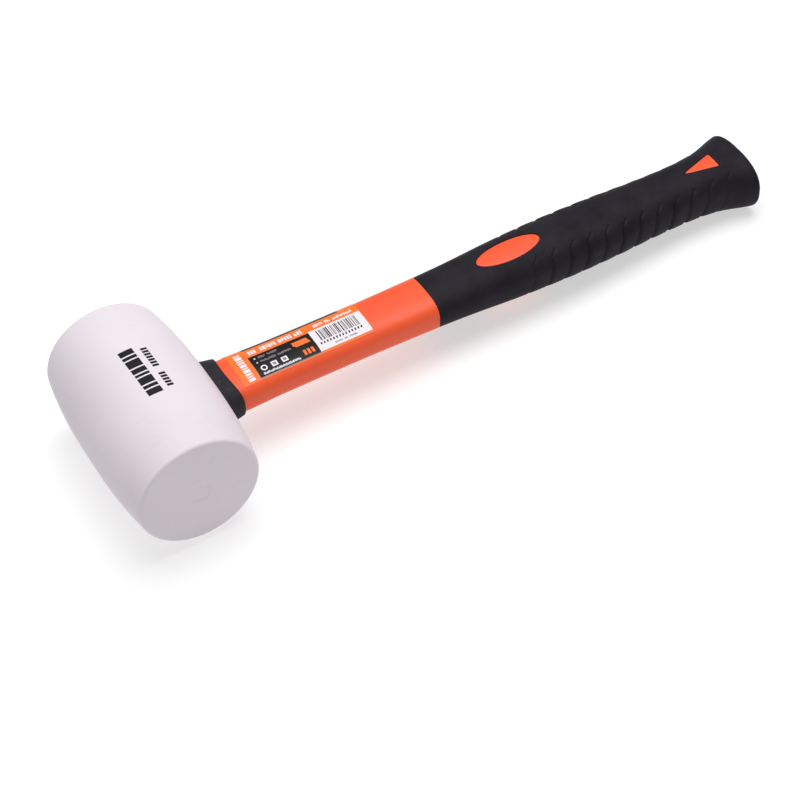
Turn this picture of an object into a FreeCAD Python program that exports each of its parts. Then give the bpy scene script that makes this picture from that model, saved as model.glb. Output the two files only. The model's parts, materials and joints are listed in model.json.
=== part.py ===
import FreeCAD, Part
import math
import os

# Rubber mallet, lying on its side on a bench. Millimetres throughout.
#
# Every piece is drawn in the tool frame: origin at the head's centre, X along the handle towards
# the butt, Y along the head from the front face to the rear face, Z out of the labelled side.
# lay_down() then turns the whole tool about the head's axis until head and butt both touch Z = 0,
# and moves the origin to the bottom centre of its box.

Vector = FreeCAD.Vector

# Head: a barrel of white rubber, turned about Y.
HEAD_LENGTH = 99.0
HEAD_RADIUS = 32.5          # at mid length
HEAD_END_RADIUS = 28.8      # where the barrel curve meets the end planes
BARREL_POWER = 2.6          # above 2 the middle is flatter than an arc
BARREL_POINTS = 9
HEAD_EDGE_RADIUS = 1.6

# Eye: the blind slot in the head along X. It widens towards its bottom, so that the set
# adhesive is a wedge and the head can't fly off.
EYE_BOTTOM_X = -20.0
EYE_HALF_WIDTH = 13.5
EYE_HALF_HEIGHT = 8.3
EYE_FLARE = 1.5             # added to both half sizes at the bottom
SEAT_DEPTH_X = 24.0         # the collar's skirt reaches in to here
SEAT_HALF_WIDTH = 15.4
SEAT_HALF_HEIGHT = 10.0
EYE_POWER = 3.0

# Core: a round glass-fibre rod, down the middle of the handle.
CORE_RADIUS = 5.0
CORE_START_X = -18.5
CORE_END_X = 304.0

# Jacket: orange plastic moulded round the core.
TANG_START_X = -18.5        # the adhesive also fills the gap below it
TANG_END_X = 24.0
TANG_HALF_WIDTH = 12.8
TANG_HALF_HEIGHT = 7.6
TANG_GROOVES_X = (-11.0, 1.0, 13.0)
TANG_GROOVE_WIDTH = 4.0
TANG_GROOVE_DEPTH = 1.0
NECK_POWER = 3.0
NECK_STATIONS = (           # x, half width along Y, half height along Z
    (24.0, 13.9, 8.5),
    (42.0, 14.1, 8.5),
    (60.0, 13.6, 8.2),
    (105.0, 13.5, 8.2),
    (142.0, 13.9, 8.8),
)

# Collar: black rubber between the head and the neck, with a skirt that goes into the eye.
COLLAR_END_X = 40.0
COLLAR_INNER_X = 28.0
COLLAR_INNER_HALF = (17.4, 11.1)
COLLAR_OUTER_HALF = (15.2, 9.5)
COLLAR_EDGE_RADIUS = 0.6

# Grip: black soft plastic moulded over the jacket.
GRIP_START_X = 142.0
GRIP_POWER = 2.5
GRIP_STATIONS = (           # x, half width along Y, half height along Z
    (142.0, 14.3, 9.2),
    (160.0, 14.6, 10.3),
    (186.0, 15.9, 11.7),
    (215.0, 16.4, 12.5),
    (240.0, 15.9, 12.5),
    (265.0, 14.5, 12.3),
    (288.0, 14.3, 12.4),
    (303.0, 15.8, 13.5),
    (314.0, 19.6, 14.3),
    (320.3, 21.3, 14.8),
)
GRIP_WALL = 2.8
JACKET_END_X = 312.0
BUTT_EDGE_RADIUS = 3.0
RIB_FIRST_X = 191.3
RIB_PITCH = 10.0
RIB_COUNT = 12
RIB_GROOVE_WIDTH = 1.2
RIB_GROOVE_DEPTH = 0.8
RIB_SIDE_Y = 11.0           # the grooves lie outside this distance from the middle plane

# Windows in the grip, on both wide sides, where the jacket shows through.
WINDOW_RECESS = 0.35
OVAL_X = 187.5
OVAL_HALF_LENGTH = 17.2
OVAL_HALF_WIDTH = 6.5
TRIANGLE_TIP_X = 286.3
TRIANGLE_BASE_X = 305.2
TRIANGLE_HALF_WIDTH = 5.1
TRIANGLE_CORNER = 0.8

# Label: printed film stuck on the neck's upper side and round its rear edge.
LABEL_START_X = 42.6
LABEL_END_X = 109.5
LABEL_FRONT_Y = -9.9
LABEL_BACK_Z = -3.0
LABEL_THICKNESS = 0.2

QUARTER_POINTS = 6          # along each quarter of a section
REACH = 60.0                # longer than any half size, for cutting boxes


def section(x, half_width, half_height, power):
    """Closed superellipse wire in the plane at x, as four quarters that run smoothly into each other."""
    quarters = []
    for q in range(4):
        points = []
        for i in range(QUARTER_POINTS):
            angle = (q + i / (QUARTER_POINTS - 1)) * math.pi / 2
            c = abs(math.cos(angle) / half_width) ** power
            s = abs(math.sin(angle) / half_height) ** power
            radius = (c + s) ** (-1 / power)
            points.append(Vector(x, radius * math.cos(angle), radius * math.sin(angle)))
        start, end = q * math.pi / 2, (q + 1) * math.pi / 2
        curve = Part.BSplineCurve()
        curve.interpolate(
            Points=points,
            InitialTangent=Vector(0, -math.sin(start), math.cos(start)),
            FinalTangent=Vector(0, -math.sin(end), math.cos(end)),
        )
        quarters.append(curve.toShape())
    return Part.Wire(quarters)


def loft(stations, power, inset=0.0):
    """Solid through stations of (x, half width, half height), each taken in by inset."""
    wires = [section(x, w - inset, h - inset, power) for x, w, h in stations]
    return Part.makeLoft(wires, True, False)


def straight(x0, x1, half_width, half_height, power):
    """Prism of one superellipse section from x0 to x1."""
    face = Part.Face(section(x0, half_width, half_height, power))
    return face.extrude(Vector(x1 - x0, 0, 0))


def slab(x0, x1, y0=-REACH, y1=REACH, z0=-REACH, z1=REACH):
    return Part.makeBox(x1 - x0, y1 - y0, z1 - z0, Vector(x0, y0, z0))


def barrel():
    """The head's outer shape, without its eye."""
    half = HEAD_LENGTH / 2
    points = []
    for i in range(BARREL_POINTS):
        y = -half + HEAD_LENGTH * i / (BARREL_POINTS - 1)
        drop = (HEAD_RADIUS - HEAD_END_RADIUS) * abs(y / half) ** BARREL_POWER
        points.append(Vector(0, y, HEAD_RADIUS - drop))
    curve = Part.BSplineCurve()
    curve.interpolate(points)
    side = curve.toShape()
    front = Part.makeLine(Vector(0, -half, 0), points[0])
    back = Part.makeLine(points[-1], Vector(0, half, 0))
    axis = Part.makeLine(Vector(0, half, 0), Vector(0, -half, 0))
    profile = Part.Face(Part.Wire([front, side, back, axis]))
    solid = profile.revolve(Vector(0, 0, 0), Vector(0, 1, 0), 360)
    rims = [e for e in solid.Edges if is_rim(e, half)]
    return solid.makeFillet(HEAD_EDGE_RADIUS, rims)


def is_rim(edge, half_length):
    """True for the circle where the barrel meets an end plane."""
    box = edge.BoundBox
    flat = box.YLength < 0.01 and abs(abs(box.YMin) - half_length) < 0.01
    return flat and box.XLength > HEAD_END_RADIUS


def eye():
    """The tapered slot, running out past the barrel at its mouth."""
    wires = [
        section(EYE_BOTTOM_X, EYE_HALF_WIDTH + EYE_FLARE, EYE_HALF_HEIGHT + EYE_FLARE, EYE_POWER),
        section(HEAD_RADIUS + 2.0, EYE_HALF_WIDTH, EYE_HALF_HEIGHT, EYE_POWER),
    ]
    return Part.makeLoft(wires, True, True)


def collar_seat():
    """The wider mouth of the eye, which the collar's skirt fills."""
    return straight(SEAT_DEPTH_X, HEAD_RADIUS + 2.0, SEAT_HALF_WIDTH, SEAT_HALF_HEIGHT, EYE_POWER)


def core_rod():
    length = CORE_END_X - CORE_START_X
    return Part.makeCylinder(CORE_RADIUS, length, Vector(CORE_START_X, 0, 0), Vector(1, 0, 0))


def tang():
    """The jacket's end inside the head, with grooves that the adhesive keys into."""
    body = straight(TANG_START_X, TANG_END_X, TANG_HALF_WIDTH, TANG_HALF_HEIGHT, NECK_POWER)
    for x in TANG_GROOVES_X:
        x0 = x - TANG_GROOVE_WIDTH / 2
        x1 = x + TANG_GROOVE_WIDTH / 2
        waist = straight(
            x0,
            x1,
            TANG_HALF_WIDTH - TANG_GROOVE_DEPTH,
            TANG_HALF_HEIGHT - TANG_GROOVE_DEPTH,
            NECK_POWER,
        )
        body = body.cut(slab(x0, x1).cut(waist))
    return body


def grip_outer():
    """The grip's outer shape, with no ribs or windows, and a rounded butt."""
    body = loft(GRIP_STATIONS, GRIP_POWER)
    end_x = GRIP_STATIONS[-1][0]
    rims = [e for e in body.Edges if e.BoundBox.XLength < 0.01 and abs(e.BoundBox.XMin - end_x) < 0.01]
    return body.makeFillet(BUTT_EDGE_RADIUS, rims)


def oval_prism():
    curve = Part.Ellipse(Vector(OVAL_X, 0, 0), OVAL_HALF_LENGTH, OVAL_HALF_WIDTH)
    face = Part.Face(Part.Wire([curve.toShape()]))
    face.translate(Vector(0, 0, -REACH))
    return face.extrude(Vector(0, 0, 2 * REACH))


def triangle_prism():
    tip = Vector(TRIANGLE_TIP_X, 0, -REACH)
    left = Vector(TRIANGLE_BASE_X, -TRIANGLE_HALF_WIDTH, -REACH)
    right = Vector(TRIANGLE_BASE_X, TRIANGLE_HALF_WIDTH, -REACH)
    prism = Part.Face(Part.makePolygon([tip, left, right, tip])).extrude(Vector(0, 0, 2 * REACH))
    upright = [e for e in prism.Edges if e.BoundBox.ZLength > REACH]
    return prism.makeFillet(TRIANGLE_CORNER, upright)


def window_prisms():
    return oval_prism().fuse(triangle_prism())


def grip_under():
    """The jacket beneath the grip: the grip's shape taken in by its wall."""
    body = loft(GRIP_STATIONS, GRIP_POWER, GRIP_WALL)
    return body.common(slab(GRIP_START_X, JACKET_END_X))


def window_pads():
    """Raised pads of the jacket that fill the windows, a little below the grip's surface."""
    level = loft(GRIP_STATIONS, GRIP_POWER, WINDOW_RECESS)
    return level.common(window_prisms())


def handle_jacket():
    neck = loft(NECK_STATIONS, NECK_POWER)
    solid = neck.fuse([tang(), grip_under(), window_pads()]).removeSplitter()
    return solid.cut(core_rod())


def half_sizes(stations, x):
    """Half width and half height at x, by straight lines between the stations."""
    for (x0, w0, h0), (x1, w1, h1) in zip(stations, stations[1:]):
        if x <= x1:
            t = (x - x0) / (x1 - x0)
            return w0 + t * (w1 - w0), h0 + t * (h1 - h0)
    return stations[-1][1:]


def grip_grooves():
    """Cutters for the grooves across both narrow sides of the grip."""
    cutters = []
    for i in range(RIB_COUNT):
        x = RIB_FIRST_X + i * RIB_PITCH
        x0 = x - RIB_GROOVE_WIDTH / 2
        x1 = x + RIB_GROOVE_WIDTH / 2
        width, height = half_sizes(GRIP_STATIONS, x)
        floor = straight(x0, x1, width - RIB_GROOVE_DEPTH, height - RIB_GROOVE_DEPTH, GRIP_POWER)
        for side in (-1, 1):
            outside = slab(x0, x1, y0=RIB_SIDE_Y) if side > 0 else slab(x0, x1, y1=-RIB_SIDE_Y)
            cutters.append(outside.cut(floor))
    return cutters


def grip_sleeve():
    """The grip: its outer shape less the grooves, the windows and the jacket beneath it."""
    return grip_outer().cut(grip_grooves()).cut([oval_prism(), triangle_prism(), grip_under()])


def neck_collar(jacket, head_block):
    """Tapered ring against the barrel, with the skirt that fills the eye's mouth."""
    wires = [
        section(COLLAR_INNER_X, *COLLAR_INNER_HALF, NECK_POWER),
        section(COLLAR_END_X, *COLLAR_OUTER_HALF, NECK_POWER),
    ]
    ring = Part.makeLoft(wires, True, True)
    rims = [
        e for e in ring.Edges if e.BoundBox.XLength < 0.01 and abs(e.BoundBox.XMin - COLLAR_END_X) < 0.01
    ]
    ring = ring.makeFillet(COLLAR_EDGE_RADIUS, rims).cut(head_block)
    return ring.fuse(collar_seat()).removeSplitter().cut([jacket, core_rod()])


def eye_adhesive():
    """What is left of the eye round and below the tang."""
    return eye().common(slab(EYE_BOTTOM_X, SEAT_DEPTH_X)).cut(tang())


def handle_label(jacket):
    """A skin one film thick over the neck, from its upper side round its rear edge."""
    film = loft(NECK_STATIONS, NECK_POWER, -LABEL_THICKNESS)
    top = slab(LABEL_START_X, LABEL_END_X, y0=LABEL_FRONT_Y, z0=0.0)
    rear = slab(LABEL_START_X, LABEL_END_X, y0=0.0, z0=LABEL_BACK_Z)
    return film.common(top.fuse(rear)).cut([jacket, core_rod()])


def tool_pieces():
    """Every piece in the tool frame, by node name."""
    head_block = barrel()
    jacket = handle_jacket()
    return {
        "mallet_head": head_block.cut([eye(), collar_seat()]),
        "fibreglass_core": core_rod(),
        "handle_jacket": jacket,
        "grip_sleeve": grip_sleeve(),
        "neck_collar": neck_collar(jacket, head_block),
        "eye_adhesive": eye_adhesive(),
        "handle_label": handle_label(jacket),
    }


def turned(shape, angle):
    """A copy turned about Y, so that a positive angle lowers the butt."""
    copy = shape.copy()
    copy.rotate(Vector(0, 0, 0), Vector(0, 1, 0), angle)
    return copy


def lying_angle(grip):
    """The turn about the head's axis, in degrees, at which head and grip are equally low."""
    butt_x = GRIP_STATIONS[-1][0]
    angle = 0.0
    for _ in range(5):
        gap = turned(grip, angle).optimalBoundingBox(False).ZMin + HEAD_RADIUS
        angle += math.degrees(gap / butt_x)
    return angle


def lay_down(pieces):
    """Turns every piece to the lying pose and puts the origin under the middle of the whole."""
    angle = lying_angle(pieces["grip_sleeve"])
    laid = {name: turned(shape, angle) for name, shape in pieces.items()}
    box = Part.makeCompound(list(laid.values())).optimalBoundingBox(False)
    shift = Vector(-(box.XMin + box.XMax) / 2, -(box.YMin + box.YMax) / 2, HEAD_RADIUS)
    for shape in laid.values():
        shape.translate(shift)
    print("lying angle", round(angle, 4), "head centre", [round(v, 4) for v in shift])
    print("box", round(box.XLength, 3), round(box.YLength, 3), round(box.ZLength, 3))
    return laid


def main():
    os.makedirs("parts", exist_ok=True)
    for name, shape in lay_down(tool_pieces()).items():
        solids = shape.Solids
        shape = solids[0] if len(solids) == 1 else Part.makeCompound(solids)
        print(name, "solids", len(solids), "valid", shape.isValid(), "mm3", round(shape.Volume, 1))
        shape.exportStep("parts/" + name + ".step")


main()
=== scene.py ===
import json
import math
import random

import bmesh
import bpy
from mathutils import Matrix, Vector


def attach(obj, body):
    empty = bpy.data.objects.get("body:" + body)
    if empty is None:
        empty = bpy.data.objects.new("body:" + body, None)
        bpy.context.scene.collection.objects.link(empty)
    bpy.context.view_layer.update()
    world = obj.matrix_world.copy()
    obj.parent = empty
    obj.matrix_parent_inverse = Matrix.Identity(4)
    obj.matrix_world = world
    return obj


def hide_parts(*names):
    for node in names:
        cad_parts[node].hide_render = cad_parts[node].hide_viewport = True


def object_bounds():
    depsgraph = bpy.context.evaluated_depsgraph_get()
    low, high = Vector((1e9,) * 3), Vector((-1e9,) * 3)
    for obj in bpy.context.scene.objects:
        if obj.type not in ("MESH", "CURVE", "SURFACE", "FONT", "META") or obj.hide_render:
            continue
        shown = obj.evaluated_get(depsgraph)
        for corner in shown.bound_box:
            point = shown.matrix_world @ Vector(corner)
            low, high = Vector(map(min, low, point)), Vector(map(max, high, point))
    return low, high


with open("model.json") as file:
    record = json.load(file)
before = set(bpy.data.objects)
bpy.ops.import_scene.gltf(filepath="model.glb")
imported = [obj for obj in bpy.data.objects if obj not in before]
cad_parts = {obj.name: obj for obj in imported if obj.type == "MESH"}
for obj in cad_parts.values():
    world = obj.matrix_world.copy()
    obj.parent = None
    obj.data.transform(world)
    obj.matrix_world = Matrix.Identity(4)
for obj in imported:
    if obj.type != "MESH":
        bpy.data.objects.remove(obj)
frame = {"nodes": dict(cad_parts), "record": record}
cad_low, cad_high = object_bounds()

# Shapes are drawn in the tool frame, in millimetres: origin at the head's centre, X along the
# handle towards the butt, Y from the front striking face to the rear one, Z out of the labelled
# side. place() turns a point of it into the row frame, in metres.
MM = 0.001
mounts = {m["name"]: m for m in frame["record"]["mounts"]}
face_front = Vector(mounts["strike_face_front"]["pos_m"])
face_rear = Vector(mounts["strike_face_rear"]["pos_m"])
HEAD_CENTRE = (face_front + face_rear) / 2
ALONG = Vector(mounts["hand_grip"]["axis"]).normalized()
ACROSS = Vector((0, 1, 0))
OUT = ALONG.cross(ACROSS)

# The CAD's driving dimensions, which the detailed pieces keep to.
HEAD_HALF = 49.5
HEAD_RADIUS = 32.5
HEAD_END_RADIUS = 28.8
BARREL_POWER = 2.6
HEAD_EDGE = 1.6
EYE_MOUTH = (34.5, 13.5, 8.3)      # x, half width and half height of the eye at its two ends
EYE_BOTTOM = (-20.0, 15.0, 9.8)
EYE_POWER = 3.0
SEAT_X = 24.0
SEAT = (15.4, 10.0)
TANG_START = -18.5
TANG = (12.8, 7.6)
CORE_RADIUS = 5.0
CORE_END = 304.0
NECK_POWER = 3.0
NECK = (                    # x, half width along Y, half height along Z
    (24.0, 13.9, 8.5),
    (42.0, 14.1, 8.5),
    (60.0, 13.6, 8.2),
    (105.0, 13.5, 8.2),
    (142.0, 13.9, 8.8),
)
COLLAR = ((28.0, 17.4, 11.1), (40.0, 15.2, 9.5))
COLLAR_END = COLLAR[1][0]
COLLAR_EDGE = 0.6
GRIP_POWER = 2.5
GRIP = (
    (142.0, 14.3, 9.2),
    (160.0, 14.6, 10.3),
    (186.0, 15.9, 11.7),
    (215.0, 16.4, 12.5),
    (240.0, 15.9, 12.5),
    (265.0, 14.5, 12.3),
    (288.0, 14.3, 12.4),
    (303.0, 15.8, 13.5),
    (314.0, 19.6, 14.3),
    (320.3, 21.3, 14.8),
)
GRIP_START = GRIP[0][0]
GRIP_END = GRIP[-1][0]
GRIP_WALL = 2.8
JACKET_END = 312.0
OVAL_X = 187.5
OVAL = (17.2, 6.5)
TRIANGLE_TIP = 289.4        # of the triangle that the corner circles are centred on
TRIANGLE_BASE = 304.4
TRIANGLE_HALF = 4.06
TRIANGLE_CORNER = 0.8
TRIANGLE_MIDDLE = 299.6
RIB_PITCH = 10.0
RIB_COUNT = 12
LABEL_X = (42.6, 109.5)
LABEL_THICKNESS = 0.2

TURN = 2 * math.pi


def smooth(t):
    """0 below 0, 1 above 1, and an even S-shaped rise between."""
    t = min(max(t, 0.0), 1.0)
    return t * t * (3 - 2 * t)


def place(point):
    x, y, z = (value * MM for value in point)
    return HEAD_CENTRE + ALONG * x + ACROSS * y + OUT * z


class Shape:
    """Points in the tool frame, and the faces between them with their material's number."""

    def __init__(self):
        self.points = []
        self.faces = []
        self.inks = []
        self.ink = 0

    def add(self, point):
        self.points.append(point)
        return len(self.points) - 1

    def loop(self, points):
        return [self.add(p) for p in points]

    def face(self, *corners):
        self.faces.append(corners)
        self.inks.append(self.ink)

    def bridge(self, a, b):
        """Quads between two closed loops with the same number of points."""
        for i in range(len(a)):
            k = (i + 1) % len(a)
            self.face(a[i], a[k], b[k], b[i])

    def fan(self, loop, centre):
        middle = self.add(centre)
        for i in range(len(loop)):
            self.face(loop[i], loop[(i + 1) % len(loop)], middle)

    def tube(self, loops, holes=()):
        """Quads between closed loops, but for the rectangles in holes."""
        n = len(loops[0])
        for i, (a, b) in enumerate(zip(loops, loops[1:])):
            for j in range(n):
                if not any(i0 <= i < i1 and (j - j0) % n < j1 - j0 for i0, i1, j0, j1 in holes):
                    k = (j + 1) % n
                    self.face(a[j], a[k], b[k], b[j])

    def close_in(self, loops, hole, flat, lift, outline, centre, margins, rings):
        """Rings from a rectangle's border in to a hole's outline, then one loop for each
        margin (distance outside the outline, depth below the surface). Gives the last loop."""
        border = rectangle(loops, hole)
        ends = [flat(self.points[p]) for p in border]
        lip = [crossing(outline, centre, end, margins[0][0]) for end in ends]
        last = border
        for k in range(rings - 1, 0, -1):
            shares = [s + (1 - s) * k / rings for s in lip]
            ring = self.loop([lift(*between(centre, e, s), 0.0) for e, s in zip(ends, shares)])
            self.bridge(last, ring)
            last = ring
        for margin, depth in margins:
            shares = [crossing(outline, centre, end, margin) for end in ends]
            ring = self.loop([lift(*between(centre, e, s), depth) for e, s in zip(ends, shares)])
            self.bridge(last, ring)
            last = ring
        return last


def rectangle(loops, hole):
    """The points round a rectangle of a tube's grid, in order."""
    i0, i1, j0, j1 = hole
    n = len(loops[0])
    down = [loops[i][j0 % n] for i in range(i0, i1)]
    over = [loops[i1][j % n] for j in range(j0, j1)]
    up = [loops[i][j1 % n] for i in range(i1, i0, -1)]
    back = [loops[i0][j % n] for j in range(j1, j0, -1)]
    return down + over + up + back


def between(a, b, share):
    return a[0] + (b[0] - a[0]) * share, a[1] + (b[1] - a[1]) * share


def crossing(outline, centre, end, margin):
    """The share of the way from centre to end at which outline's distance reaches margin."""
    low, high = 0.0, 1.0
    for _ in range(28):
        middle = (low + high) / 2
        if outline(*between(centre, end, middle)) < margin:
            low = middle
        else:
            high = middle
    return low


SHARP_ANGLE = 38.0          # in degrees, from which an edge is shaded as a crease
GRIP_SHARP = 50.0


def make_piece(name, shape, materials, node=None, sharp=SHARP_ANGLE):
    """One visible piece of the mallet, in place of the CAD node named."""
    mesh = bpy.data.meshes.new(name)
    mesh.from_pydata([place(p) for p in shape.points], [], shape.faces)
    for m in materials:
        mesh.materials.append(m)
    mesh.polygons.foreach_set("material_index", shape.inks)
    work = bmesh.new()
    work.from_mesh(mesh)
    bmesh.ops.recalc_face_normals(work, faces=work.faces)
    work.to_mesh(mesh)
    work.free()
    mesh.shade_smooth()
    mesh.set_sharp_from_angle(angle=math.radians(sharp))
    piece = bpy.data.objects.new(name, mesh)
    bpy.context.scene.collection.objects.link(piece)
    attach(piece, "root")
    if node:
        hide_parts(node)


# Sections


def rim(angle, width, height, power):
    """The point of a superellipse at a polar angle, as (y, z)."""
    c = abs(math.cos(angle) / width) ** power
    s = abs(math.sin(angle) / height) ** power
    radius = (c + s) ** (-1 / power)
    return radius * math.cos(angle), radius * math.sin(angle)


def rim_normal(y, z, width, height, power):
    ny = math.copysign(abs(y / width) ** (power - 1) / width, y)
    nz = math.copysign(abs(z / height) ** (power - 1) / height, z)
    length = math.hypot(ny, nz)
    return ny / length, nz / length


def section(x, width, height, power, count):
    points = []
    for j in range(count):
        y, z = rim(TURN * j / count, width, height, power)
        points.append((x, y, z))
    return points


def slope(stations, i, column):
    """The gradient of one column of the stations at the station i."""
    a = stations[max(i - 1, 0)]
    b = stations[min(i + 1, len(stations) - 1)]
    return (b[column] - a[column]) / (b[0] - a[0])


def sizes(stations, x):
    """Half width and half height at x, on smooth curves through the stations."""
    x = min(max(x, stations[0][0]), stations[-1][0])
    i = next(k for k in range(len(stations) - 1) if x <= stations[k + 1][0])
    a, b = stations[i], stations[i + 1]
    run = b[0] - a[0]
    t = (x - a[0]) / run
    found = []
    for column in (1, 2):
        start, end = slope(stations, i, column) * run, slope(stations, i + 1, column) * run
        value = (2 * t**3 - 3 * t**2 + 1) * a[column] + (3 * t**2 - 2 * t**3) * b[column]
        found.append(value + (t**3 - 2 * t**2 + t) * start + (t**3 - t**2) * end)
    return tuple(found)


# Head

HEAD_AROUND = 160
HEAD_ROWS = 64
EDGE_STEPS = 7
FACE_RINGS = 14
MOUTH_HALF = 20.0           # half length along Y of the grid rectangle round the eye's mouth
MOUTH_ANGLE = 27            # and its half angle round the barrel, in degrees
MOUTH_RINGS = 5
MOUTH_LIP = ((0.5, 0.0), (0.15, 0.12), (0.0, 0.5))      # (distance outside the outline, depth)
GATE_RADIUS = 5.5           # the mark where the rubber was let into the mould
GATE_DEPTH = 0.18
GATE_SLOPE = (0.2, 0.5)     # how far outside the radius the mark's edge starts, and its width
GATE_RINGS = (GATE_RADIUS + 0.3, GATE_RADIUS, GATE_RADIUS - 0.4, GATE_RADIUS / 2)


def barrel_radius(y):
    share = min(abs(y) / HEAD_HALF, 1.0)
    return HEAD_RADIUS - (HEAD_RADIUS - HEAD_END_RADIUS) * share**BARREL_POWER


def barrel_x(y, z):
    """How far out the barrel's surface is at y and z."""
    return math.sqrt(max(barrel_radius(y) ** 2 - z * z, 0.0))


def round_point(y, radius, j):
    angle = TURN * j / HEAD_AROUND
    return radius * math.cos(angle), y, radius * math.sin(angle)


def eye_sizes(x):
    t = (x - EYE_BOTTOM[0]) / (EYE_MOUTH[0] - EYE_BOTTOM[0])
    return tuple(deep + (mouth - deep) * t for deep, mouth in zip(EYE_BOTTOM[1:], EYE_MOUTH[1:]))


def oval_distance(u, v, a, b, power=2.0):
    """About how far (u, v) lies outside a superellipse with half sizes a and b."""
    value = abs(u / a) ** power + abs(v / b) ** power - 1
    gradient = math.hypot(power * abs(u / a) ** (power - 1) / a, power * abs(v / b) ** (power - 1) / b)
    return value / max(gradient, 1e-9)


def head_shape():
    shape = Shape()
    flat_end = HEAD_HALF - HEAD_EDGE
    body = []
    for i in range(HEAD_ROWS + 1):
        y = -flat_end + 2 * flat_end * i / HEAD_ROWS
        body.append(shape.loop([round_point(y, barrel_radius(y), j) for j in range(HEAD_AROUND)]))
    row = round((flat_end - MOUTH_HALF) / (2 * flat_end) * HEAD_ROWS)
    wide = HEAD_AROUND * MOUTH_ANGLE // 360
    hole = (row, HEAD_ROWS - row, -wide, wide)

    def flat(point):
        return point[1], point[2]

    def lift(y, z, depth):
        return barrel_x(y, z) - depth, y, z

    def outline(y, z):
        return oval_distance(y, z, *SEAT, EYE_POWER)

    last = shape.close_in(body, hole, flat, lift, outline, (0.0, 0.0), MOUTH_LIP, MOUTH_RINGS)
    shape.tube(body, [hole])
    angles = [math.atan2(shape.points[p][2], shape.points[p][1]) for p in last]
    steps = ((SEAT_X, SEAT), (SEAT_X, eye_sizes(SEAT_X)), (EYE_BOTTOM[0], EYE_BOTTOM[1:]))
    for x, size in steps:
        ring = shape.loop([(x, *rim(angle, *size, EYE_POWER)) for angle in angles])
        shape.bridge(last, ring)
        last = ring
    shape.fan(last, (EYE_BOTTOM[0], 0.0, 0.0))
    for side, start in ((-1, body[0]), (1, body[-1])):
        last = start
        edge_radius = barrel_radius(flat_end)
        for i in range(1, EDGE_STEPS + 1):
            angle = math.pi / 2 * i / EDGE_STEPS
            radius = edge_radius - HEAD_EDGE * (1 - math.cos(angle))
            y = side * (flat_end + HEAD_EDGE * math.sin(angle))
            ring = shape.loop([round_point(y, radius, j) for j in range(HEAD_AROUND)])
            shape.bridge(last, ring)
            last = ring
        rim_radius = edge_radius - HEAD_EDGE
        radii = [rim_radius * (1 - i / FACE_RINGS) for i in range(1, FACE_RINGS - 1)]
        for radius in sorted({*radii, *GATE_RINGS}, reverse=True):
            depth = GATE_DEPTH * smooth((GATE_RADIUS + GATE_SLOPE[0] - radius) / GATE_SLOPE[1])
            y = side * (HEAD_HALF - depth)
            ring = shape.loop([round_point(y, radius, j) for j in range(HEAD_AROUND)])
            shape.bridge(last, ring)
            last = ring
        shape.fan(last, (0.0, side * (HEAD_HALF - GATE_DEPTH), 0.0))
    return shape


# Jacket

JACKET_AROUND = 112
JACKET_ROWS = 60            # in the neck, and again under the grip
TANG_RIM = ((0.0, 0.5), (0.15, 0.15), (0.5, 0.0))       # (distance from the tang's end, inset)
PAD_RAYS = 96
PAD_REACH = 25.0            # longer than any pad's half length
PAD_RECESS = 0.35           # below the grip's surface
PAD_GAP = 0.1               # between the pad and the window's edge
PAD_FOOT = GRIP_WALL + 0.4  # how far the pad's side goes down
PAD_PROFILE = (             # (share of the way out from the middle, depth)
    (0.25, 0.0),
    (0.5, 0.0),
    (0.72, 0.0),
    (0.88, 0.0),
    (0.96, 0.02),
    (0.985, 0.07),
    (1.0, 0.2),
    (1.0, PAD_FOOT),
)


def jacket_shape():
    shape = Shape()

    def ring(x, width, height, power):
        return shape.loop(section(x, width, height, power, JACKET_AROUND))

    loops = []
    for past, inset in TANG_RIM:
        loops.append(ring(TANG_START + past, TANG[0] - inset, TANG[1] - inset, NECK_POWER))
    for x in (0.0, SEAT_X):
        loops.append(ring(x, *TANG, NECK_POWER))
    for i in range(JACKET_ROWS + 1):
        x = SEAT_X + (GRIP_START - SEAT_X) * i / JACKET_ROWS
        loops.append(ring(x, *sizes(NECK, x), NECK_POWER))
    for i in range(JACKET_ROWS + 1):
        x = GRIP_START + (JACKET_END - GRIP_START) * i / JACKET_ROWS
        width, height = sizes(GRIP, x)
        loops.append(ring(x, width - GRIP_WALL, height - GRIP_WALL, GRIP_POWER))
    shape.tube(loops)
    shape.fan(loops[-1], (JACKET_END, 0.0, 0.0))
    bore = [ring(x, CORE_RADIUS, CORE_RADIUS, 2.0) for x in (TANG_START, CORE_END)]
    shape.bridge(loops[0], bore[0])
    shape.tube(bore)
    shape.fan(bore[-1], (CORE_END, 0.0, 0.0))
    for side in (1, -1):
        window_pad(shape, side, oval_window, (OVAL_X, 0.0))
        window_pad(shape, side, triangle_window, (TRIANGLE_MIDDLE, 0.0))
    return shape


def window_pad(shape, side, outline, centre):
    """A raised pad that fills a window of the grip, with rounded edges."""
    ends = []
    for i in range(PAD_RAYS):
        angle = TURN * i / PAD_RAYS
        ends.append((centre[0] + PAD_REACH * math.cos(angle), PAD_REACH * math.sin(angle)))
    edge = [crossing(outline, centre, end, -PAD_GAP) for end in ends]
    last = None
    for share, depth in PAD_PROFILE:
        flat = [between(centre, end, reach * share) for end, reach in zip(ends, edge)]
        ring = shape.loop([grip_top(x, y, PAD_RECESS + depth, side) for x, y in flat])
        if last is None:
            shape.fan(ring, grip_top(*centre, PAD_RECESS, side))
        else:
            shape.bridge(last, ring)
        last = ring
    shape.fan(last, grip_top(*centre, PAD_RECESS + PAD_FOOT, side))


# Grip

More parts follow.
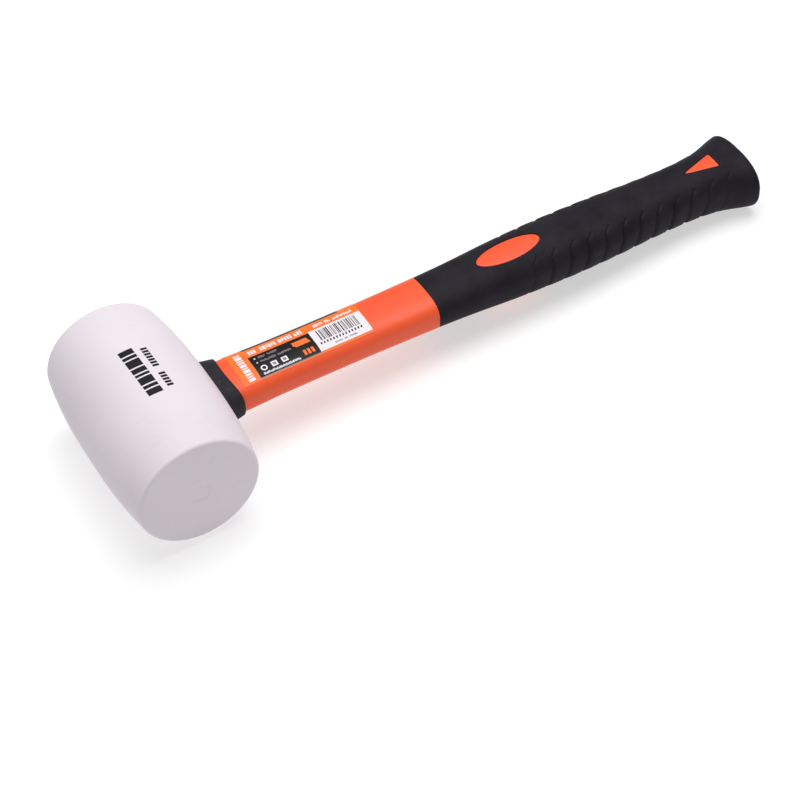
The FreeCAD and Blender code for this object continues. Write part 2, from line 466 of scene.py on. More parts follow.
GRIP_AROUND = 144
FRONT_EDGE = {142.0: 0.35, 142.12: 0.12, 142.4: 0.0, 143.0: 0.0, 144.5: 0.0}    # x: inset
PLAIN_COLUMNS = [146.0 + 2.0 * i for i in range(23)] + [191.0, 192.2, 193.0, 193.4]
RIB_COLUMNS = (0.0, 0.2, 0.45, 0.7, 1.1, 1.7, 2.4, 3.2, 4.5, 6.0, 7.5, 8.8, 9.5, 9.8)
LAST_COLUMNS = (313.8, 314.8, 315.8)
RIB_FIRST = 193.6           # the first groove's upper end
RIB_DEPTH = 1.1
RIB_CROWN = 0.14            # how far a rib rises above the plain surface
RIB_FALL = 0.42             # length of a groove's steep side
RIB_BOTTOM = 0.5            # where the ramp back out starts
RIB_RAMP = 2.1
RIB_CROWN_FROM = 1.6
RIB_SIDE_Y = 9.0            # the ribs lie outside this distance from the middle plane
RIB_TOP_Z = 9.6             # the lean is counted from this height
RIB_LEAN = 0.24             # how far a groove moves along X for each step down the side
RIB_HOOK = 2.8              # how far its upper end bends towards the butt
RIB_HOOK_Y = 12.9           # where the bend ends
RIB_FADE_Y = 3.2
RIBS_START = (176.0, 14.0)  # x, and the length over which the ribs fade in
RIBS_END = (315.0, 9.0)     # x, and the length over which they fade out
WINDOW_ROWS = 16            # half of the points round the section that a window's rectangle spans
WINDOW_LIP = ((0.35, 0.0), (0.1, 0.06), (0.0, 0.3), (0.0, 1.2))     # (distance outside, depth)
INNER_LIP = ((0.0, 0.0),)
WINDOW_RINGS = (4, 3)       # outside and inside
BUTT_EDGE = 2.6
BUTT_DOME = 0.4
BUTT_STEPS = 9
DOME_RINGS = (0.93, 0.85, 0.72, 0.58, 0.44, 0.3, 0.15)


def oval_window(x, y):
    return oval_distance(x - OVAL_X, y, *OVAL)


def to_segment(x, y, a, b):
    run = (b[0] - a[0], b[1] - a[1])
    share = ((x - a[0]) * run[0] + (y - a[1]) * run[1]) / (run[0] ** 2 + run[1] ** 2)
    near = between(a, b, min(max(share, 0.0), 1.0))
    return math.hypot(x - near[0], y - near[1])


def triangle_window(x, y):
    """Distance outside the triangle with rounded corners."""
    y = abs(y)
    tip, corner, base = (TRIANGLE_TIP, 0.0), (TRIANGLE_BASE, TRIANGLE_HALF), (TRIANGLE_BASE, 0.0)
    side = math.hypot(corner[0] - tip[0], corner[1])
    over = (y * (corner[0] - tip[0]) - (x - tip[0]) * corner[1]) / side
    inside = max(over, x - TRIANGLE_BASE)
    if inside <= 0:
        return inside - TRIANGLE_CORNER
    return min(to_segment(x, y, tip, corner), to_segment(x, y, corner, base)) - TRIANGLE_CORNER


def grip_top(x, y, depth=0.0, side=1, wall=0.0):
    """The point of the grip's wide side at x and y, some way below the surface."""
    width, height = sizes(GRIP, x)
    width -= wall
    height -= wall
    z = height * (1 - min(abs(y) / width, 1.0) ** GRIP_POWER) ** (1 / GRIP_POWER)
    return x, y, side * (z - depth)


def rib_shift(y, z):
    """How far along X the grooves lie at a point of the section, from their place at the top."""
    away = abs(y)
    down = RIB_TOP_Z - z if y < 0 else RIB_TOP_Z + z
    hook = RIB_HOOK * smooth((RIB_HOOK_Y - away) / RIB_FADE_Y)
    return (hook - RIB_LEAN * down) * smooth(away - RIB_SIDE_Y)


def rib_profile(s):
    """Height of the surface at s past a groove: a steep fall, a ramp back out, and a low crown."""
    if s < RIB_BOTTOM:
        return -RIB_DEPTH * smooth(s / RIB_FALL)
    ramp_height = -RIB_DEPTH * (1 - smooth((s - RIB_BOTTOM) / RIB_RAMP))
    share = smooth((s - RIB_CROWN_FROM) / (RIB_PITCH - RIB_CROWN_FROM))
    return ramp_height + RIB_CROWN * math.sin(math.pi * share)


def grip_columns():
    """(x, height of the ribs there) for each loop of the grip, from its front edge to the butt."""
    columns = [(x, 0.0) for x in (*FRONT_EDGE, *PLAIN_COLUMNS)]
    for k in range(RIB_COUNT):
        # The grooves at both ends are shallower.
        strength = min(1.0, 0.45 + 0.3 * k, 0.35 + 0.3 * (RIB_COUNT - 1 - k))
        for s in RIB_COLUMNS:
            columns.append((RIB_FIRST + RIB_PITCH * k + s, strength * rib_profile(s)))
    columns += [(x, 0.0) for x in LAST_COLUMNS]
    return columns


def grip_loop(x, rib, inset):
    """Points round the grip at x, in by inset, with the ribs at their height there."""
    points = []
    fade = smooth((x - RIBS_START[0]) / RIBS_START[1]) * smooth((RIBS_END[0] - x) / RIBS_END[1])
    width, height = sizes(GRIP, x)
    for j in range(GRIP_AROUND):
        angle = TURN * j / GRIP_AROUND
        y, z = rim(angle, width, height, GRIP_POWER)
        moved = x + fade * rib_shift(y, z)
        w, h = sizes(GRIP, moved)
        y, z = rim(angle, w - inset, h - inset, GRIP_POWER)
        ny, nz = rim_normal(y, z, w - inset, h - inset, GRIP_POWER)
        rise = rib * smooth((abs(y) - RIB_SIDE_Y) / RIB_FADE_Y)
        points.append((moved, y + ny * rise, z + nz * rise))
    return points


WINDOWS = (                 # the ends of the grid rectangle, the outline, and its middle
    (167.0, 208.0, oval_window, OVAL_X),
    (284.5, 309.5, triangle_window, TRIANGLE_MIDDLE),
)


def grip_windows(columns):
    """(hole rectangle, outline, centre, side) for each window."""
    xs = [x for x, _ in columns]
    found = []
    for low, high, outline, middle in WINDOWS:
        i0 = max(i for i, x in enumerate(xs) if x <= low)
        i1 = min(i for i, x in enumerate(xs) if x >= high)
        for side, quarter in ((1, 1), (-1, 3)):
            top = quarter * GRIP_AROUND // 4
            found.append(((i0, i1, top - WINDOW_ROWS, top + WINDOW_ROWS), outline, (middle, 0.0), side))
    return found


def grip_lift(side, wall):
    def lift(x, y, depth):
        return grip_top(x, y, depth, side, wall)

    return lift


def grip_shape():
    shape = Shape()
    columns = grip_columns()
    windows = grip_windows(columns)
    outer = [shape.loop(grip_loop(x, rib, FRONT_EDGE.get(x, 0.0))) for x, rib in columns]
    shape.tube(outer, [w[0] for w in windows])
    inner_columns = [x for x, _ in columns if x <= JACKET_END + 1.0]
    inner = [shape.loop(grip_loop(x, 0.0, GRIP_WALL)) for x in inner_columns]
    shape.tube(inner, [w[0] for w in windows])
    shape.bridge(outer[0], inner[0])
    shape.fan(inner[-1], (inner_columns[-1], 0.0, 0.0))

    def flat(point):
        return point[0], point[1]

    for hole, outline, centre, side in windows:
        edges = []
        for loops, wall, lip, rings in (
            (outer, 0.0, WINDOW_LIP, WINDOW_RINGS[0]),
            (inner, GRIP_WALL, INNER_LIP, WINDOW_RINGS[1]),
        ):
            lift = grip_lift(side, wall)
            edges.append(shape.close_in(loops, hole, flat, lift, outline, centre, lip, rings))
        shape.bridge(*edges)
    # The butt: a rounded rim, then a low dome.
    last = outer[-1]
    start = GRIP_END - BUTT_DOME - BUTT_EDGE
    for i in range(BUTT_STEPS + 1):
        angle = math.pi / 2 * i / BUTT_STEPS
        x = start + BUTT_EDGE * math.sin(angle)
        inset = BUTT_EDGE * (1 - math.cos(angle))
        width, height = sizes(GRIP, x)
        ring = section(x, width - inset, height - inset, GRIP_POWER, GRIP_AROUND)
        ring = shape.loop(ring)
        shape.bridge(last, ring)
        last = ring
    width, height = sizes(GRIP, GRIP_END)
    for share in DOME_RINGS:
        x = GRIP_END - BUTT_DOME * share**2
        w, h = (width - BUTT_EDGE) * share, (height - BUTT_EDGE) * share
        ring = shape.loop(section(x, w, h, GRIP_POWER, GRIP_AROUND))
        shape.bridge(last, ring)
        last = ring
    shape.fan(last, (GRIP_END, 0.0, 0.0))
    return shape


# Collar

COLLAR_AROUND = 112
COLLAR_FOOT = ((0.45, -0.05), (0.12, 0.12), (0.0, 0.5))     # (inset, distance off the barrel)
COLLAR_RINGS = (33.5, 35.0, 36.5, 38.0, 39.2)
COLLAR_EDGE_STEPS = 4
COLLAR_LIP = 0.1            # the inner edge stands this far inside the outer one
COLLAR_LEAN_FROM = 33.0
COLLAR_LEAN = 0.04          # the outer edge's lean, per millimetre along Y
COLLAR_SHORT = 0.6          # how far its sides stand short of the collar's end, on average
COLLAR_DIP = 1.7            # and how much further in it curves on the wide sides


def collar_sizes(x):
    (x0, w0, h0), (x1, w1, h1) = COLLAR
    t = (x - x0) / (x1 - x0)
    return w0 + (w1 - w0) * t, h0 + (h1 - h0) * t


def collar_shape():
    shape = Shape()

    def saddle(inset, off, size=None):
        """A loop where the collar meets the barrel."""
        points = []
        for j in range(COLLAR_AROUND):
            x = HEAD_RADIUS
            for _ in range(6):
                w, h = size or collar_sizes(x)
                y, z = rim(TURN * j / COLLAR_AROUND, w - inset, h - inset, NECK_POWER)
                x = barrel_x(y, z)
            points.append((x + off, y, z))
        return shape.loop(points)

    def ring(x, width, height):
        return shape.loop(section(x, width, height, NECK_POWER, COLLAR_AROUND))

    def leaning(x, inset, inner=False):
        """A loop that follows the outer edge, which leans and is curved in on the wide sides."""
        share = (x - COLLAR_LEAN_FROM) / (COLLAR_END - COLLAR_LEAN_FROM)
        points = []
        for j in range(COLLAR_AROUND):
            angle = TURN * j / COLLAR_AROUND
            w, h = collar_sizes(x)
            y, z = rim(angle, w, h, NECK_POWER)
            at = x - share * (COLLAR_SHORT + COLLAR_LEAN * y + COLLAR_DIP * (1 - (y / w) ** 2))
            w, h = sizes(NECK, at) if inner else collar_sizes(at)
            points.append((at, *rim(angle, w - inset, h - inset, NECK_POWER)))
        return shape.loop(points)

    loops = [ring(SEAT_X, *SEAT), saddle(0.0, 0.0, SEAT)]
    loops += [saddle(inset, off) for inset, off in COLLAR_FOOT]
    loops += [leaning(x, 0.0) for x in COLLAR_RINGS]
    for i in range(COLLAR_EDGE_STEPS + 1):
        angle = math.pi / 2 * i / COLLAR_EDGE_STEPS
        x = COLLAR_END - COLLAR_EDGE + COLLAR_EDGE * math.sin(angle)
        loops.append(leaning(x, COLLAR_EDGE * (1 - math.cos(angle))))
    loops.append(leaning(COLLAR_END - COLLAR_LIP, 0.0, inner=True))
    for x in (COLLAR_RINGS[0], SEAT_X):
        loops.append(ring(x, *sizes(NECK, x)))
    shape.tube(loops + [loops[0]])
    return shape


# Label: a film round the neck. u is x, and v is the distance round the section from the middle of
# the upper side, positive towards the rear.

FILM_SAMPLES = 480
FILM_ANGLES = (205, -45)    # polar angles in degrees, from past the front edge to past the rear one
PRINT_THICKNESS = 0.03
PRINT_SINK = 0.02           # how far printed pieces go into what they lie on


def film_table():
    """(v, y, z) along the neck's section at its slimmest, y and z as shares of the half sizes."""
    _, width, height = NECK[3]
    start, end = (math.radians(angle) for angle in FILM_ANGLES)
    rows = []
    v = 0.0
    previous = None
    for i in range(FILM_SAMPLES + 1):
        y, z = rim(start + (end - start) * i / FILM_SAMPLES, width, height, NECK_POWER)
        if previous:
            v += math.hypot(y - previous[0], z - previous[1])
        previous = (y, z)
        rows.append((v, y / width, z / height))
    _, middle = min((abs(y), v) for v, y, z in rows if z > 0)
    return [(v - middle, y, z) for v, y, z in rows]


FILM = film_table()


def film_point(x, v, lift):
    i = 0
    step = FILM_SAMPLES // 2
    while step:
        if i + step < FILM_SAMPLES and FILM[i + step][0] <= v:
            i += step
        else:
            step //= 2
    a, b = FILM[i], FILM[i + 1]
    t = (v - a[0]) / (b[0] - a[0])
    width, height = sizes(NECK, x)
    y = (a[1] + (b[1] - a[1]) * t) * width
    z = (a[2] + (b[2] - a[2]) * t) * height
    ny, nz = rim_normal(y, z, width, height, NECK_POWER)
    return x, y + ny * lift, z + nz * lift


def crown_point(x, y, lift):
    """A point of the barrel over its crown, with x measured round it."""
    radius = barrel_radius(y) + lift
    angle = x / barrel_radius(y)
    return radius * math.sin(angle), y, radius * math.cos(angle)


def panel(shape, point, u0, u1, v0, v1, low, high, ink, slant=0.0, cell=1.2):
    """A thin rectangle from lift low to lift high over the surface that point() gives. slant moves
    its v1 side along u, and cell is about the size of its faces."""
    shape.ink = ink
    across = max(1, math.ceil((v1 - v0) / cell))
    along = max(1, math.ceil((u1 - u0) / (cell * 4)))
    layers = []
    for lift in (low, high):
        rows = []
        for i in range(across + 1):
            t = i / across
            v = v0 + (v1 - v0) * t
            row = [point(u0 + (u1 - u0) * k / along + slant * t, v, lift) for k in range(along + 1)]
            rows.append(shape.loop(row))
        layers.append(rows)
    for rows in layers:
        for a, b in zip(rows, rows[1:]):
            for k in range(along):
                shape.face(a[k], a[k + 1], b[k + 1], b[k])
    bottom, top = (
        rows[0] + [r[-1] for r in rows[1:]] + rows[-1][-2::-1] + [r[0] for r in rows[-2:0:-1]]
        for rows in layers
    )
    shape.bridge(bottom, top)


DISC_SIDES = 20


def disc(shape, point, u, v, radius, low, high, ink):
    shape.ink = ink
    rings = []
    for lift in (low, high):
        points = []
        for i in range(DISC_SIDES):
            angle = TURN * i / DISC_SIDES
            points.append(point(u + radius * math.cos(angle), v + radius * math.sin(angle), lift))
        rings.append(shape.loop(points))
    shape.bridge(*rings)
    for ring, lift in zip(rings, (low, high)):
        shape.fan(ring, point(u, v, lift))


def marks(rng, u0, u1, v0, v1):
    """Rectangles (u0, u1, v0, v1) of uneven strokes that fill a line, in place of lettering."""
    found = []
    height = v1 - v0
    u = u0
    while u < u1 - 0.2 * height:
        wide = min(height * rng.uniform(0.3, 0.5), u1 - u)
        low, high = rng.choice(((0.0, 1.0), (0.0, 1.0), (0.0, 0.72), (0.2, 1.0)))
        found.append((u, u + wide, v0 + low * height, v0 + high * height))
        u += wide + height * 0.15
    return found


ORANGE_INK, BLACK_INK, WHITE_INK, GREY_INK = range(4)

# The label's layout. Positions along the neck are x, and positions across it are v.
LABEL_FRONT, TITLE_LOW, TITLE_HIGH, LABEL_BACK = -10.3, 3.8, 9.7, 21.5
PANEL_FRONT = -9.1
STRIP_END = 51.3            # the marker strip's end and the black panel's start
BLACK_END = 82.4            # the black panel's end and the white panel's start
FILM_SINK = 0.05            # how far the film goes into the neck
RULE = (0.45, 0.02)         # edges of the thin rule in front of the black panel
WHITE_END = LABEL_X[1] - 0.3
WHITE_MARGINS = (0.02, 0.1, 0.5)            # from the black panel's end, front and back
BACK_BAND = (101.0, LABEL_BACK - 0.4)       # end and back of the black band on the rear edge
LETTER_SEED = 7
MARKER_X = (45.7, 48.9)
MARKER_START = -9.0
MARKER_BARS = (1.5, 0.7, 1.1, 1.9, 0.7, 1.5, 1.1, 0.7, 1.9, 1.1)
MARKER_GAP = 0.55
TITLE_ROWS = (              # (front, back, (start and end of each word))
    (5.2, 7.9, ((52.9, 57.4), (58.9, 66.8), (68.3, 75.4), (76.3, 80.6))),
    (5.6, 7.5, ((86.4, 91.2), (92.4, 95.0), (96.4, 106.6))),
)
BULLET_X = 53.8
BULLET_RADIUS = 0.42
BULLET_V = 0.6              # the bullet's middle, from the front of its row
BULLET_HEIGHT = 1.3
BULLET_ROWS = (             # (front, (start and end of each word))
    (1.2, ((55.6, 59.4), (60.2, 65.2))),
    (-1.5, ((55.6, 63.6), (64.4, 71.0))),
)
RING = (55.2, -4.9, 1.6, 0.9)               # x, v, outer and inner radius
SQUARES_X = (59.0, 64.2)
SQUARE = (0.0, 3.0, -6.3, -3.4)
SQUARE_MIDDLE = (0.7, 2.3, -5.6, -4.1)
LONG_LINE = (53.6, 72.6, -8.5, -7.3)
TAG = (73.4, 81.0, -1.4, 1.9)
TAG_SLANT = -1.0
TAG_TIP = (72.4, 73.6, -0.5, 0.6)
CHIP = (75.0, 76.3, -7.6, -4.6)
CHIP_PITCH = 2.0
CHIP_COUNT = 3
BARS = (85.6, 106.0, -3.6, 3.1)
BAR_WIDTHS = (0.25, 0.36, 0.36, 0.62, 0.95)
BAR_GAPS = (0.32, 0.42, 0.7)
BAR_BLACK_SHARE = 0.8
TICKS = (84.2, 106.5, -5.7, -4.4)
TICK_WIDTH = 0.75
TICK_PITCH = 1.6
TICK_SLANT = 0.2
FOOT_LINE = (-7.9, -7.0, ((90.6, 94.4), (95.4, 97.0), (98.0, 102.0)))


def label_shape():
    """The film, its printed fields, and strokes and plain shapes in place of words and signs."""
    shape = Shape()
    film, ink = LABEL_THICKNESS, LABEL_THICKNESS + PRINT_THICKNESS
    over = ink + PRINT_THICKNESS
    top = over + PRINT_THICKNESS
    rng = random.Random(LETTER_SEED)

    def printed(u0, u1, v0, v1, colour, level=1, slant=0.0):
        low, high = (film, ink) if level == 1 else (ink, over)
        panel(shape, film_point, u0, u1, v0, v1, low - PRINT_SINK, high, colour, slant)

    def line(u0, u1, v0, v1, colour, level=1):
        for stroke in marks(rng, u0, u1, v0, v1):
            printed(*stroke, colour, level)

    panel(shape, film_point, *LABEL_X, LABEL_FRONT, LABEL_BACK, -FILM_SINK, film, ORANGE_INK)
    printed(STRIP_END, BLACK_END, PANEL_FRONT, TITLE_LOW, BLACK_INK)
    printed(STRIP_END, BLACK_END, PANEL_FRONT - RULE[0], PANEL_FRONT - RULE[1], GREY_INK)
    gap, front, back = WHITE_MARGINS
    printed(BLACK_END + gap, WHITE_END, PANEL_FRONT + front, TITLE_LOW + back, WHITE_INK)
    printed(STRIP_END, BACK_BAND[0], TITLE_HIGH, BACK_BAND[1], BLACK_INK)
    v = MARKER_START
    for wide in MARKER_BARS:
        printed(*MARKER_X, v, v + wide, WHITE_INK)
        v += wide + MARKER_GAP
    for v0, v1, words in TITLE_ROWS:
        for u0, u1 in words:
            line(u0, u1, v0, v1, WHITE_INK)
    for v, words in BULLET_ROWS:
        middle = v + BULLET_V
        disc(shape, film_point, BULLET_X, middle, BULLET_RADIUS, ink - PRINT_SINK, over, WHITE_INK)
        for u0, u1 in words:
            line(u0, u1, v, v + BULLET_HEIGHT, GREY_INK, 2)
    u, v, outer, inner = RING
    disc(shape, film_point, u, v, outer, ink - PRINT_SINK, over, WHITE_INK)
    disc(shape, film_point, u, v, inner, over - PRINT_SINK, top, BLACK_INK)
    for u in SQUARES_X:
        u0, u1, v0, v1 = SQUARE
        printed(u + u0, u + u1, v0, v1, WHITE_INK, 2)
        u0, u1, v0, v1 = SQUARE_MIDDLE
        panel(shape, film_point, u + u0, u + u1, v0, v1, over - PRINT_SINK, top, GREY_INK)
    line(*LONG_LINE, WHITE_INK, 2)
    printed(*TAG, ORANGE_INK, 2, TAG_SLANT)
    printed(*TAG_TIP, ORANGE_INK, 2)
    u0, u1, v0, v1 = CHIP
    for i in range(CHIP_COUNT):
        printed(u0 + CHIP_PITCH * i, u1 + CHIP_PITCH * i, v0, v1, ORANGE_INK, 2)
    u, end, v0, v1 = BARS
    while u < end:
        width = rng.choice(BAR_WIDTHS)
        ink_here = BLACK_INK if rng.random() < BAR_BLACK_SHARE else GREY_INK
        printed(u, u + width, v0, v1, ink_here, 2)
        u += width + rng.choice(BAR_GAPS)
    u, end, v0, v1 = TICKS
    while u < end:
        printed(u, u + TICK_WIDTH, v0, v1, BLACK_INK, 2, TICK_SLANT)
        u += TICK_PITCH
    v0, v1, words = FOOT_LINE
    for u0, u1 in words:
        line(u0, u1, v0, v1, GREY_INK, 2)
    return shape


# The print on the head's crown: a row of bold blocks and a row of short dashes, in place of a name.
CROWN_TURN = -0.037         # how far the rows move round the barrel for each step along it
CROWN_CELL = 0.8
CROWN_LIFT = 0.04           # how far the print stands off the rubber, and how far it goes in
BLOCKS_START = -15.2
BLOCK_WIDTHS = (3.6, 1.9, 4.4, 1.5, 3.0, 4.8, 1.9, 3.4)
BLOCK_GAP = 0.85
BLOCK_SPAN = (-4.85, 2.05)
DASH_GROUPS = ((-13.6, 5), (0.0, 7))        # (start, count)
DASH_PITCH = 1.95
DASH_WIDTH = 1.35
DASH_SPAN = (4.9, 8.0)


def head_print_shape():
    shape = Shape()

    def crown_row(along, across, lift):
        return crown_point(across + CROWN_TURN * along, along, lift)

    def block(start, width, span):
        end = start + width
        panel(shape, crown_row, start, end, *span, -CROWN_LIFT, CROWN_LIFT, 0, cell=CROWN_CELL)

    y = BLOCKS_START
    for width in BLOCK_WIDTHS:
        block(y, width, BLOCK_SPAN)
        y += width + BLOCK_GAP
    for start, count in DASH_GROUPS:
        for i in range(count):
            block(start + DASH_PITCH * i, DASH_WIDTH, DASH_SPAN)
    return shape


# Materials. Texture coordinates are the object's own, in metres.


def new_material(name):
    material = bpy.data.materials.new(name)
    material.use_nodes = True
    tree = material.node_tree
    shader = tree.nodes["Principled BSDF"]
    coordinates = tree.nodes.new("ShaderNodeTexCoord")
    return material, tree, shader, coordinates.outputs["Object"]


def noise(tree, coordinates, scale, detail=4.0, roughness=0.55, stretch=(1, 1, 1)):
    mapping = tree.nodes.new("ShaderNodeMapping")
    mapping.inputs["Scale"].default_value = stretch
    tree.links.new(coordinates, mapping.inputs["Vector"])
    texture = tree.nodes.new("ShaderNodeTexNoise")
    texture.inputs["Scale"].default_value = scale
    texture.inputs["Detail"].default_value = detail
    texture.inputs["Roughness"].default_value = roughness
    tree.links.new(mapping.outputs["Vector"], texture.inputs["Vector"])
    return texture.outputs["Fac"]


def ramp(tree, value, low, high):
    """Black where value is below low, white where it is above high."""
    node = tree.nodes.new("ShaderNodeValToRGB")
    for element, position, grey in zip(node.color_ramp.elements, (low, high), (0, 1)):
        element.position = position
        element.color = (grey, grey, grey, 1)
    tree.links.new(value, node.inputs["Fac"])
    return node.outputs["Color"]


def mix(tree, factor, a, b):
    """Colour a where factor is 0, and b where it is 1. Each is a socket or a colour."""
    node = tree.nodes.new("ShaderNodeMix")
    node.data_type = "RGBA"
    tree.links.new(factor, node.inputs["Factor"])
    for socket, value in ((node.inputs[6], a), (node.inputs[7], b)):
        if isinstance(value, bpy.types.NodeSocket):
            tree.links.new(value, socket)
        else:
            socket.default_value = (*value, 1)
    return node.outputs[2]


def roughness_from(tree, shader, value, low, high):
    node = tree.nodes.new("ShaderNodeMapRange")
    node.inputs["To Min"].default_value = low
    node.inputs["To Max"].default_value = high
    tree.links.new(value, node.inputs["Value"])
    tree.links.new(node.outputs["Result"], shader.inputs["Roughness"])


def bump(tree, shader, heights):
    """Bumps one over the other: (height socket, distance in metres, strength)."""
    normal = None
    for height, distance, strength in heights:
        node = tree.nodes.new("ShaderNodeBump")
        node.inputs["Distance"].default_value = distance
        node.inputs["Strength"].default_value = strength
        tree.links.new(height, node.inputs["Height"])
        if normal is not None:
            tree.links.new(normal, node.inputs["Normal"])
        normal = node.outputs["Normal"]
    tree.links.new(normal, shader.inputs["Normal"])


def white_rubber():
    material, tree, shader, at = new_material("white_rubber")
    cloud = ramp(tree, noise(tree, at, 22.0, 5.0), 0.35, 0.7)
    colour = mix(tree, cloud, (0.80, 0.735, 0.79), (0.765, 0.70, 0.755))
    streaks = ramp(tree, noise(tree, at, 60.0, 6.0, 0.65, (1, 6, 1)), 0.60, 0.78)
    colour = mix(tree, streaks, colour, (0.745, 0.68, 0.735))
    specks = ramp(tree, noise(tree, at, 520.0, 2.0), 0.745, 0.77)
    colour = mix(tree, specks, colour, (0.68, 0.62, 0.66))
    tree.links.new(colour, shader.inputs["Base Color"])
    roughness_from(tree, shader, noise(tree, at, 140.0, 4.0), 0.52, 0.68)
    shader.inputs["Specular IOR Level"].default_value = 0.35
    shader.inputs["Subsurface Weight"].default_value = 0.06
    shader.inputs["Subsurface Radius"].default_value = (0.004, 0.003, 0.003)
    fine = noise(tree, at, 2400.0, 3.0)
    broad = noise(tree, at, 55.0, 3.0)
    bump(tree, shader, ((broad, 0.0004, 0.1), (fine, 0.00004, 0.5)))
    return material


def orange_plastic():
    material, tree, shader, at = new_material("orange_plastic")
    flow = ramp(tree, noise(tree, at, 30.0, 4.0, 0.5, (0.4, 1, 1)), 0.35, 0.7)
    colour = mix(tree, flow, (0.93, 0.112, 0.034), (0.87, 0.092, 0.028))
    rubbed = ramp(tree, noise(tree, at, 240.0, 6.0, 0.7, (0.25, 1, 1)), 0.66, 0.74)
    colour = mix(tree, rubbed, colour, (0.95, 0.17, 0.07))
    tree.links.new(colour, shader.inputs["Base Color"])
    roughness_from(tree, shader, noise(tree, at, 180.0, 5.0, 0.6, (0.3, 1, 1)), 0.34, 0.5)
    shader.inputs["Specular IOR Level"].default_value = 0.32
    grain = noise(tree, at, 1500.0, 3.0)
    waves = noise(tree, at, 90.0, 2.0, 0.5, (0.3, 1, 1))
    bump(tree, shader, ((waves, 0.00015, 0.3), (grain, 0.00003, 0.4)))
    return material


def black_grip():
    material, tree, shader, at = new_material("black_soft_plastic")
    tone = ramp(tree, noise(tree, at, 70.0, 5.0), 0.3, 0.75)
    colour = mix(tree, tone, (0.0105, 0.0085, 0.0135), (0.021, 0.018, 0.025))
    # Lighter specks: partly dust, partly painted highlight that stands in for the grip's faint mottled
    # sheen.
    dust_and_highlight_specks = ramp(tree, noise(tree, at, 900.0, 4.0, 0.7), 0.64, 0.78)
    colour = mix(tree, dust_and_highlight_specks, colour, (0.055, 0.05, 0.058))
    tree.links.new(colour, shader.inputs["Base Color"])
    roughness_from(tree, shader, noise(tree, at, 260.0, 5.0), 0.5, 0.7)
    shader.inputs["Specular IOR Level"].default_value = 0.12
    pebbles = noise(tree, at, 1300.0, 2.0, 0.45)
    fine = noise(tree, at, 4200.0, 2.0)
    bump(tree, shader, ((pebbles, 0.00012, 0.55), (fine, 0.00003, 0.4)))
    return material


def black_rubber():
    material, tree, shader, at = new_material("black_rubber")
    tone = ramp(tree, noise(tree, at, 160.0, 6.0, 0.65), 0.35, 0.75)
    colour = mix(tree, tone, (0.014, 0.0125, 0.017), (0.026, 0.024, 0.03))
    chalk = ramp(tree, noise(tree, at, 600.0, 5.0, 0.75), 0.58, 0.72)
    colour = mix(tree, chalk, colour, (0.085, 0.08, 0.09))
    tree.links.new(colour, shader.inputs["Base Color"])
    roughness_from(tree, shader, noise(tree, at, 300.0, 4.0), 0.62, 0.85)
    shader.inputs["Specular IOR Level"].default_value = 0.24
    rough = noise(tree, at, 800.0, 4.0, 0.6)
    bump(tree, shader, ((rough, 0.0002, 0.6),))
    return material


def set_adhesive():
    material, tree, shader, at = new_material("adhesive")
    tone = ramp(tree, noise(tree, at, 180.0, 5.0), 0.35, 0.7)
    colour = mix(tree, tone, (0.07, 0.062, 0.055), (0.13, 0.115, 0.10))
    tree.links.new(colour, shader.inputs["Base Color"])
    roughness_from(tree, shader, noise(tree, at, 90.0, 3.0), 0.22, 0.5)
    bump(tree, shader, ((noise(tree, at, 240.0, 3.0), 0.0006, 0.6),))
    return material


def glass_fibre():
    material, tree, shader, at = new_material("fibreglass")
    strands = ramp(tree, noise(tree, at, 1100.0, 3.0, 0.6, (0.02, 1, 1)), 0.3, 0.7)
    colour = mix(tree, strands, (0.55, 0.47, 0.28), (0.78, 0.72, 0.52))
    tree.links.new(colour, shader.inputs["Base Color"])
    roughness_from(tree, shader, noise(tree, at, 400.0, 4.0), 0.45, 0.7)
    bump(tree, shader, ((noise(tree, at, 1400.0, 3.0), 0.0001, 0.6),))
    return material


def printed_film(name, base, worn, rough=(0.3, 0.45)):
    """Ink on the label's film: even colour with faint rubbing, and a slight ripple."""
    material, tree, shader, at = new_material(name)
    rub = ramp(tree, noise(tree, at, 320.0, 6.0, 0.7), 0.62, 0.74)
    colour = mix(tree, rub, base, worn)
    tree.links.new(colour, shader.inputs["Base Color"])
    roughness_from(tree, shader, noise(tree, at, 210.0, 4.0), *rough)
    shader.inputs["Specular IOR Level"].default_value = 0.15
    bump(tree, shader, ((noise(tree, at, 130.0, 3.0), 0.0002, 0.2),))
    return material


def floor_material():
    material, tree, shader, at = new_material("floor")
    tone = ramp(tree, noise(tree, at, 3.0, 3.0), 0.3, 0.7)
    colour = mix(tree, tone, (0.50, 0.50, 0.50), (0.51, 0.51, 0.51))
    tree.links.new(colour, shader.inputs["Base Color"])
    shader.inputs["Roughness"].default_value = 0.9
    shader.inputs["Specular IOR Level"].default_value = 0.1
    shader.inputs["Emission Color"].default_value = (1, 1, 1, 1)
    shader.inputs["Emission Strength"].default_value = 0.55
    return material


# Build

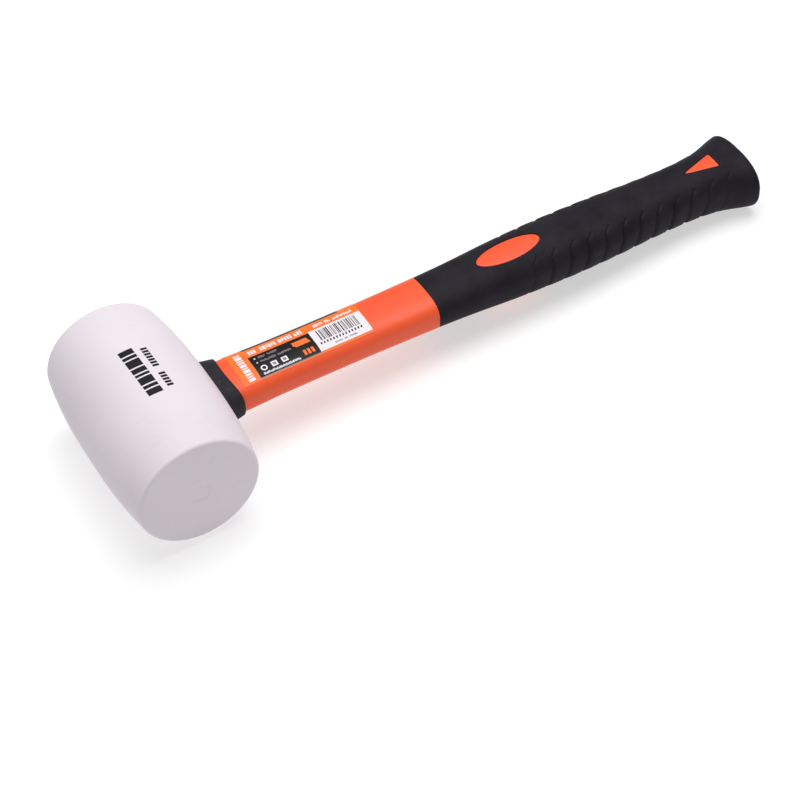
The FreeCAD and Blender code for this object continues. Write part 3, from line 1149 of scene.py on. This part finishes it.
inks = [
    printed_film("label_orange", (0.95, 0.19, 0.035), (0.96, 0.24, 0.06)),
    printed_film("label_black", (0.008, 0.0065, 0.0075), (0.02, 0.018, 0.02)),
    printed_film("label_white", (0.85, 0.80, 0.84), (0.72, 0.67, 0.71)),
    printed_film("label_grey", (0.24, 0.22, 0.25), (0.17, 0.15, 0.17)),
]
print_ink = printed_film("print_ink", (0.012, 0.011, 0.013), (0.03, 0.028, 0.03), (0.5, 0.65))
make_piece("head", head_shape(), [white_rubber()], "mallet_head")
make_piece("handle", jacket_shape(), [orange_plastic()], "handle_jacket")
make_piece("grip", grip_shape(), [black_grip()], "grip_sleeve", GRIP_SHARP)
make_piece("collar", collar_shape(), [black_rubber()], "neck_collar")
make_piece("label", label_shape(), inks, "handle_label")
make_piece("head_print", head_print_shape(), [print_ink])
for node, material in (("fibreglass_core", glass_fibre()), ("eye_adhesive", set_adhesive())):
    mesh = frame["nodes"][node].data
    mesh.materials.clear()
    mesh.materials.append(material)


# Stage, light and camera

FLOOR_HALF = 3.0


def floor():
    mesh = bpy.data.meshes.new("floor")
    corners = [(x * FLOOR_HALF, y * FLOOR_HALF, 0) for x, y in ((-1, -1), (1, -1), (1, 1), (-1, 1))]
    mesh.from_pydata(corners, [], [(0, 1, 2, 3)])
    mesh.materials.append(floor_material())
    piece = bpy.data.objects.new("floor", mesh)
    bpy.context.scene.collection.objects.link(piece)


def area_light(name, place_at, aim, size, power):
    data = bpy.data.lights.new(name, "AREA")
    data.shape = "SQUARE"
    data.size = size
    data.energy = power
    lamp = bpy.data.objects.new(name, data)
    lamp.location = place_at
    lamp.rotation_euler = (Vector(aim) - Vector(place_at)).to_track_quat("-Z", "Y").to_euler()
    bpy.context.scene.collection.objects.link(lamp)


def lights():
    world = bpy.data.worlds.new("studio")
    world.use_nodes = True
    background = world.node_tree.nodes["Background"]
    background.inputs["Color"].default_value = (1, 1, 1, 1)
    background.inputs["Strength"].default_value = 0.25
    bpy.context.scene.world = world
    area_light("overhead", (0.25, 0.2, 1.35), (0, 0, 0), 1.1, 16.8)
    area_light("side", (-0.5, 0.1, 1.2), (-0.1, 0, 0), 0.7, 2.5)


CAMERA_AZIMUTH = -24.85     # in degrees; 0 looks along +Y
CAMERA_ELEVATION = 48.66
CAMERA_ROLL = -6.86
CAMERA_DISTANCE = 1.007
CAMERA_LENS = 101.63        # for a sensor this wide, both in millimetres
CAMERA_SENSOR = 36.0
CAMERA_CLIP = (0.05, 20.0)
CAMERA_AIM = (-0.0451, -0.0521)     # the point looked at, from the middle of the object's box


def camera():
    azimuth = math.radians(CAMERA_AZIMUTH)
    elevation = math.radians(CAMERA_ELEVATION)
    roll = math.radians(CAMERA_ROLL)
    level = Vector((math.cos(azimuth), math.sin(azimuth), 0))
    behind = Vector((math.sin(azimuth), -math.cos(azimuth), 0))
    back = behind * math.cos(elevation) + Vector((0, 0, math.sin(elevation)))
    upright = back.cross(level)
    right = level * math.cos(roll) + upright * math.sin(roll)
    up = upright * math.cos(roll) - level * math.sin(roll)
    data = bpy.data.cameras.new("camera")
    data.lens = CAMERA_LENS
    data.sensor_width = CAMERA_SENSOR
    data.clip_start, data.clip_end = CAMERA_CLIP
    eye = bpy.data.objects.new("camera", data)
    middle = (cad_low + cad_high) / 2
    spot = middle + Vector((*CAMERA_AIM, 0)) + back * CAMERA_DISTANCE
    eye.matrix_world = Matrix.Translation(spot) @ Matrix((right, up, back)).transposed().to_4x4()
    bpy.context.scene.collection.objects.link(eye)
    bpy.context.scene.camera = eye


floor()
lights()
camera()
bpy.context.scene.view_settings.view_transform = "Standard"
